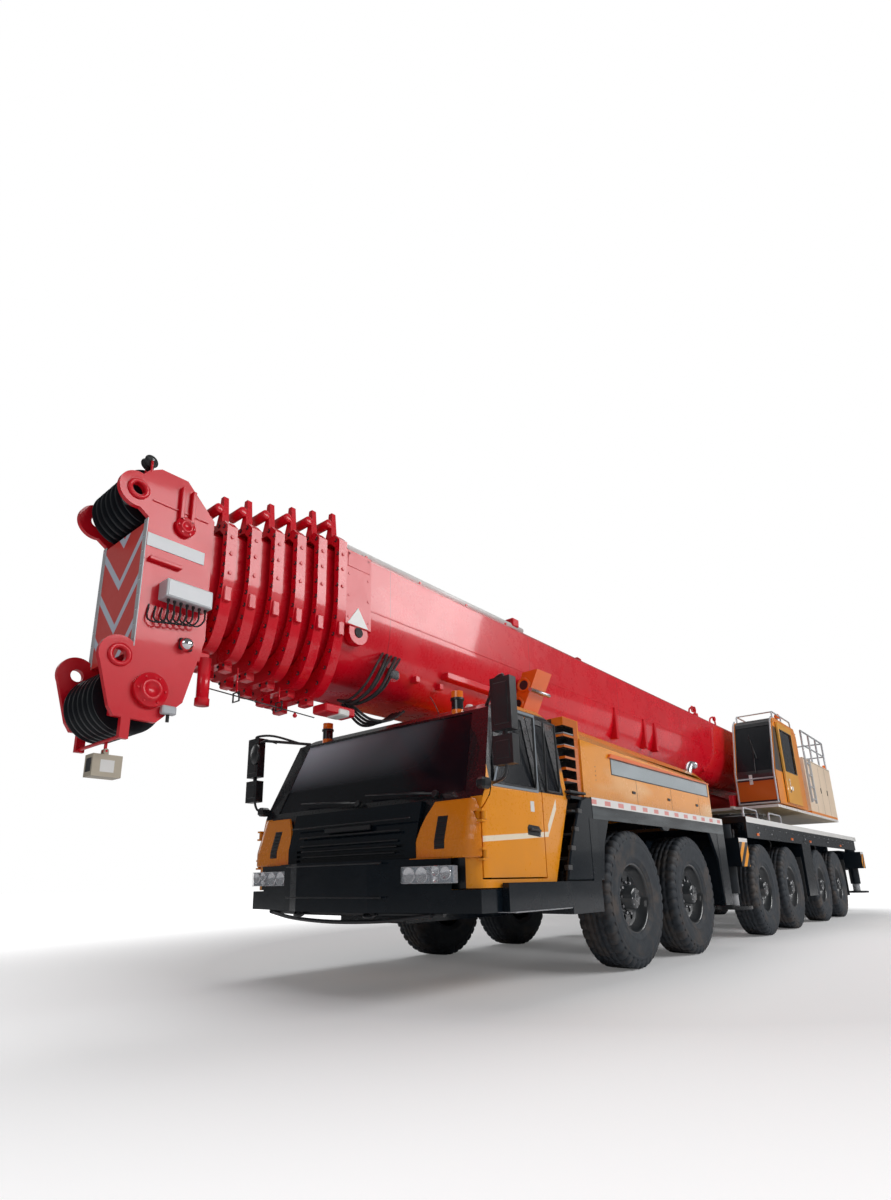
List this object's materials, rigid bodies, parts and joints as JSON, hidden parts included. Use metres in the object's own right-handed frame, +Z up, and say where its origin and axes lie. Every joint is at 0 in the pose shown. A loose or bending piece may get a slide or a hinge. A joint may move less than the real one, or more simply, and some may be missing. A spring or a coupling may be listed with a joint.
{
  "type": "mobile crane",
  "caption": "Road-going mobile crane: wheeled carrier with front cab, outriggers and a slewing, luffing telescopic boom stowed over the cab.",
  "frame": {"origin": "on the ground, midway between the jib lugs' front tips and the rear outrigger pads", "axes": "+X forward, +Y to the vehicle's left, +Z up"},
  "size_m": [18.8997, 3.51, 4.07],
  "materials": {
    "boom_red": "bright red gloss paint",
    "cab_yellow": "orange-yellow gloss paint",
    "orange": "deep orange paint",
    "frame_dark": "blue-black satin paint",
    "deck_grey": "grey satin paint with white edge",
    "house_white": "pale cream and orange paint",
    "glass_dark": "tinted safety glass",
    "lamp_clear": "clear and amber lamp lenses",
    "rubber": "black tyre rubber on black steel rims",
    "plastic_black": "black moulded plastic",
    "steel": "bare machined steel",
    "cast_dark": "dark cast iron",
    "trim_fabric": "dark cab trim"
  },
  "bodies": {
    "root": {"carrier_frame": "frame_dark", "engine_block": "cast_dark", "axle_beams": "frame_dark", "cab_shell": "cab_yellow", "cab_glass": "glass_dark", "cab_interior": "trim_fabric", "front_end": "frame_dark", "front_deck": "frame_dark", "engine_cover": "cab_yellow", "rear_deck": "deck_grey", "boom_rest": "orange", "mirrors": "plastic_black", "lamps": "lamp_clear"},
    "door_left": {"door_left": "cab_yellow", "door_glass_left": "glass_dark"},
    "door_right": {"door_right": "cab_yellow", "door_glass_right": "glass_dark"},
    "knuckle_1_left": {"knuckle_1_left": "frame_dark"},
    "wheel_1_left": {"wheel_1_left": "rubber"},
    "knuckle_1_right": {"knuckle_1_right": "frame_dark"},
    "wheel_1_right": {"wheel_1_right": "rubber"},
    "knuckle_2_left": {"knuckle_2_left": "frame_dark"},
    "wheel_2_left": {"wheel_2_left": "rubber"},
    "knuckle_2_right": {"knuckle_2_right": "frame_dark"},
    "wheel_2_right": {"wheel_2_right": "rubber"},
    "wheel_3_left": {"wheel_3_left": "rubber"},
    "wheel_3_right": {"wheel_3_right": "rubber"},
    "wheel_4_left": {"wheel_4_left": "rubber"},
    "wheel_4_right": {"wheel_4_right": "rubber"},
    "wheel_5_left": {"wheel_5_left": "rubber"},
    "wheel_5_right": {"wheel_5_right": "rubber"},
    "wheel_6_left": {"wheel_6_left": "rubber"},
    "wheel_6_right": {"wheel_6_right": "rubber"},
    "outrigger_beam_front_left": {"outrigger_beam_front_left": "frame_dark"},
    "outrigger_jack_front_left": {"outrigger_jack_front_left": "steel"},
    "outrigger_beam_front_right": {"outrigger_beam_front_right": "frame_dark"},
    "outrigger_jack_front_right": {"outrigger_jack_front_right": "steel"},
    "outrigger_beam_rear_left": {"outrigger_beam_rear_left": "frame_dark"},
    "outrigger_jack_rear_left": {"outrigger_jack_rear_left": "steel"},
    "outrigger_beam_rear_right": {"outrigger_beam_rear_right": "frame_dark"},
    "outrigger_jack_rear_right": {"outrigger_jack_rear_right": "steel"},
    "superstructure": {"upper_frame": "boom_red", "machinery_house": "house_white"},
    "upper_cab": {"upper_cab": "orange", "upper_cab_glass": "glass_dark"},
    "upper_cab_door": {"upper_cab_door": "orange"},
    "hoist_drum": {"hoist_drum": "steel"},
    "boom_base": {"boom_section_1": "boom_red"},
    "luff_barrel": {"luff_barrel": "boom_red"},
    "luff_rod": {"luff_rod": "steel"},
    "boom_section_2": {"boom_section_2": "boom_red"},
    "boom_section_3": {"boom_section_3": "boom_red"},
    "boom_section_4": {"boom_section_4": "boom_red"},
    "boom_section_5": {"boom_section_5": "boom_red"},
    "boom_section_6": {"boom_section_6": "boom_red"},
    "boom_top": {"boom_section_7": "boom_red"},
    "upper_sheaves": {"upper_sheaves": "plastic_black"},
    "lower_sheaves": {"lower_sheaves": "plastic_black"},
    "switch_weight": {"switch_weight": "cast_dark"}
  },
  "joints": [
    {"name": "door_left_hinge", "type": "hinge", "parent": "root", "child": "door_left", "pos_m": [6.885, 1.447, 1.4], "axis": [0, 0, -1], "range_deg": [0, 65]},
    {"name": "door_right_hinge", "type": "hinge", "parent": "root", "child": "door_right", "pos_m": [6.885, -1.447, 1.4], "axis": [0, 0, 1], "range_deg": [0, 65]},
    {"name": "steer_1_left", "type": "hinge", "parent": "root", "child": "knuckle_1_left", "pos_m": [4.25, 0.985, 0.685], "axis": [0, 0, 1], "range_deg": [-35, 35]},
    {"name": "wheel_1_left_spin", "type": "hinge", "parent": "knuckle_1_left", "child": "wheel_1_left", "pos_m": [4.25, 1.2575, 0.685], "axis": [0, 1, 0], "continuous": true},
    {"name": "steer_1_right", "type": "hinge", "parent": "root", "child": "knuckle_1_right", "pos_m": [4.25, -0.985, 0.685], "axis": [0, 0, 1], "range_deg": [-35, 35]},
    {"name": "wheel_1_right_spin", "type": "hinge", "parent": "knuckle_1_right", "child": "wheel_1_right", "pos_m": [4.25, -1.2575, 0.685], "axis": [0, 1, 0], "continuous": true},
    {"name": "steer_2_left", "type": "hinge", "parent": "root", "child": "knuckle_2_left", "pos_m": [2.6, 0.985, 0.685], "axis": [0, 0, 1], "range_deg": [-35, 35]},
    {"name": "wheel_2_left_spin", "type": "hinge", "parent": "knuckle_2_left", "child": "wheel_2_left", "pos_m": [2.6, 1.2575, 0.685], "axis": [0, 1, 0], "continuous": true},
    {"name": "steer_2_right", "type": "hinge", "parent": "root", "child": "knuckle_2_right", "pos_m": [2.6, -0.985, 0.685], "axis": [0, 0, 1], "range_deg": [-35, 35]},
    {"name": "wheel_2_right_spin", "type": "hinge", "parent": "knuckle_2_right", "child": "wheel_2_right", "pos_m": [2.6, -1.2575, 0.685], "axis": [0, 1, 0], "continuous": true},
    {"name": "wheel_3_left_spin", "type": "hinge", "parent": "root", "child": "wheel_3_left", "pos_m": [-0.52, 1.2575, 0.685], "axis": [0, 1, 0], "continuous": true},
    {"name": "wheel_3_right_spin", "type": "hinge", "parent": "root", "child": "wheel_3_right", "pos_m": [-0.52, -1.2575, 0.685], "axis": [0, 1, 0], "continuous": true},
    {"name": "wheel_4_left_spin", "type": "hinge", "parent": "root", "child": "wheel_4_left", "pos_m": [-2.17, 1.2575, 0.685], "axis": [0, 1, 0], "continuous": true},
    {"name": "wheel_4_right_spin", "type": "hinge", "parent": "root", "child": "wheel_4_right", "pos_m": [-2.17, -1.2575, 0.685], "axis": [0, 1, 0], "continuous": true},
    {"name": "wheel_5_left_spin", "type": "hinge", "parent": "root", "child": "wheel_5_left", "pos_m": [-4.5, 1.2575, 0.685], "axis": [0, 1, 0], "continuous": true},
    {"name": "wheel_5_right_spin", "type": "hinge", "parent": "root", "child": "wheel_5_right", "pos_m": [-4.5, -1.2575, 0.685], "axis": [0, 1, 0], "continuous": true},
    {"name": "wheel_6_left_spin", "type": "hinge", "parent": "root", "child": "wheel_6_left", "pos_m": [-6.15, 1.2575, 0.685], "axis": [0, 1, 0], "continuous": true},
    {"name": "wheel_6_right_spin", "type": "hinge", "parent": "root", "child": "wheel_6_right", "pos_m": [-6.15, -1.2575, 0.685], "axis": [0, 1, 0], "continuous": true},
    {"name": "outrigger_beam_front_left_slide", "type": "slide", "parent": "root", "child": "outrigger_beam_front_left", "axis": [0, 1, 0], "range_m": [0, 1.9]},
    {"name": "outrigger_jack_front_left_slide", "type": "slide", "parent": "outrigger_beam_front_left", "child": "outrigger_jack_front_left", "axis": [0, 0, -1], "range_m": [0, 0.65]},
    {"name": "outrigger_beam_front_right_slide", "type": "slide", "parent": "root", "child": "outrigger_beam_front_right", "axis": [0, -1, 0], "range_m": [0, 1.9]},
    {"name": "outrigger_jack_front_right_slide", "type": "slide", "parent": "outrigger_beam_front_right", "child": "outrigger_jack_front_right", "axis": [0, 0, -1], "range_m": [0, 0.65]},
    {"name": "outrigger_beam_rear_left_slide", "type": "slide", "parent": "root", "child": "outrigger_beam_rear_left", "axis": [0, 1, 0], "range_m": [0, 1.9]},
    {"name": "outrigger_jack_rear_left_slide", "type": "slide", "parent": "outrigger_beam_rear_left", "child": "outrigger_jack_rear_left", "axis": [0, 0, -1], "range_m": [0, 0.65]},
    {"name": "outrigger_beam_rear_right_slide", "type": "slide", "parent": "root", "child": "outrigger_beam_rear_right", "axis": [0, -1, 0], "range_m": [0, 1.9]},
    {"name": "outrigger_jack_rear_right_slide", "type": "slide", "parent": "outrigger_beam_rear_right", "child": "outrigger_jack_rear_right", "axis": [0, 0, -1], "range_m": [0, 0.65]},
    {"name": "slew", "type": "hinge", "parent": "root", "child": "superstructure", "pos_m": [-3.35, 0, 1.9], "axis": [0, 0, 1], "continuous": true},
    {"name": "upper_cab_tilt", "type": "hinge", "parent": "superstructure", "child": "upper_cab", "pos_m": [-4.215, 0, 2.18], "axis": [0, -1, 0], "range_deg": [0, 20]},
    {"name": "upper_cab_door_slide", "type": "slide", "parent": "upper_cab", "child": "upper_cab_door", "axis": [-1, 0, 0], "range_m": [0, 0.62]},
    {"name": "hoist_drum_spin", "type": "hinge", "parent": "superstructure", "child": "hoist_drum", "pos_m": [-6.83, 0, 2.64], "axis": [0, 1, 0], "continuous": true},
    {"name": "luff", "type": "hinge", "parent": "superstructure", "child": "boom_base", "pos_m": [-6.15, 0, 3.15], "axis": [0, -1, 0], "range_deg": [0, 82]},
    {"name": "luff_barrel_turn", "type": "hinge", "parent": "superstructure", "child": "luff_barrel", "pos_m": [-4.65, 0, 2.3], "axis": [0, -1, 0], "range_deg": [0, 90.03]},
    {"name": "luff_rod_slide", "type": "slide", "parent": "luff_barrel", "child": "luff_rod", "axis": [0.9998, 0, 0.0219], "range_m": [0, 2.2004]},
    {"name": "telescope_1", "type": "slide", "parent": "boom_base", "child": "boom_section_2", "axis": [1, 0, 0], "range_m": [0, 9.8]},
    {"name": "telescope_2", "type": "slide", "parent": "boom_section_2", "child": "boom_section_3", "axis": [1, 0, 0], "range_m": [0, 9.8]},
    {"name": "telescope_3", "type": "slide", "parent": "boom_section_3", "child": "boom_section_4", "axis": [1, 0, 0], "range_m": [0, 9.8]},
    {"name": "telescope_4", "type": "slide", "parent": "boom_section_4", "child": "boom_section_5", "axis": [1, 0, 0], "range_m": [0, 9.8]},
    {"name": "telescope_5", "type": "slide", "parent": "boom_section_5", "child": "boom_section_6", "axis": [1, 0, 0], "range_m": [0, 9.8]},
    {"name": "telescope_6", "type": "slide", "parent": "boom_section_6", "child": "boom_top", "axis": [1, 0, 0], "range_m": [0, 9.8]},
    {"name": "upper_sheaves_spin", "type": "hinge", "parent": "boom_top", "child": "upper_sheaves", "pos_m": [9.18, 0, 3.605], "axis": [0, 1, 0], "continuous": true},
    {"name": "lower_sheaves_spin", "type": "hinge", "parent": "boom_top", "child": "lower_sheaves", "pos_m": [9.165, 0, 2.085], "axis": [0, 1, 0], "continuous": true},
    {"name": "switch_weight_swing", "type": "hinge", "parent": "boom_top", "child": "switch_weight", "pos_m": [9.225, 0.1, 1.745], "axis": [0, 1, 0], "range_deg": [0, 83]}
  ],
  "couplings": [
    {"joint": "steer_1_right", "follows": "steer_1_left", "ratio": 1},
    {"joint": "steer_2_left", "follows": "steer_1_left", "ratio": 0.8},
    {"joint": "steer_2_right", "follows": "steer_1_left", "ratio": 0.8},
    {"joint": "luff_barrel_turn", "follows": "luff", "ratio": 1.0918},
    {"joint": "luff_rod_slide", "follows": "luff", "m_per_rad": 1.534},
    {"joint": "switch_weight_swing", "follows": "luff", "ratio": 1}
  ]
}
